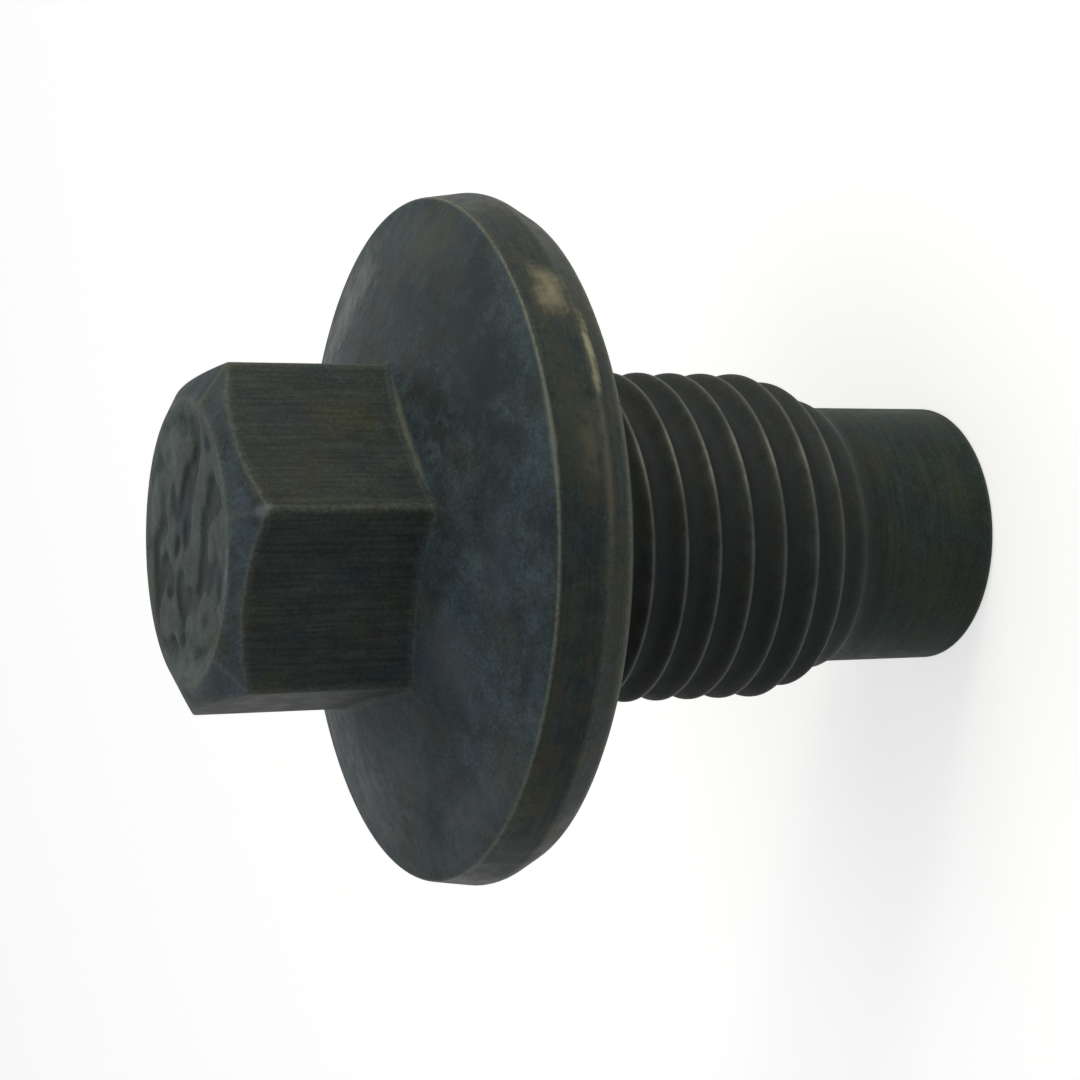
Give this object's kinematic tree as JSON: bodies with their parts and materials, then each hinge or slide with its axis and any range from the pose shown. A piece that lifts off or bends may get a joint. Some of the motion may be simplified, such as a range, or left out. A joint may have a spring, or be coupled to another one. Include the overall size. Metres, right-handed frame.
{
  "type": "oil drain plug",
  "caption": "Threaded drain plug with a hexagon head, a wide coned flange, a short threaded shank and a plain cylindrical pilot.",
  "frame": {"origin": "centre of the flat end face of the pilot, on the plug's axis, which is the plane it stands on", "axes": "+Z along the axis towards the hexagon head; +X through one corner of the hexagon"},
  "size_m": [0.0282, 0.0282, 0.0342],
  "materials": {
    "dark_steel": "dark phosphated steel, lightly oiled, with bright worn edges"
  },
  "bodies": {
    "root": {"drain_plug": "dark_steel"}
  },
  "joints": []
}
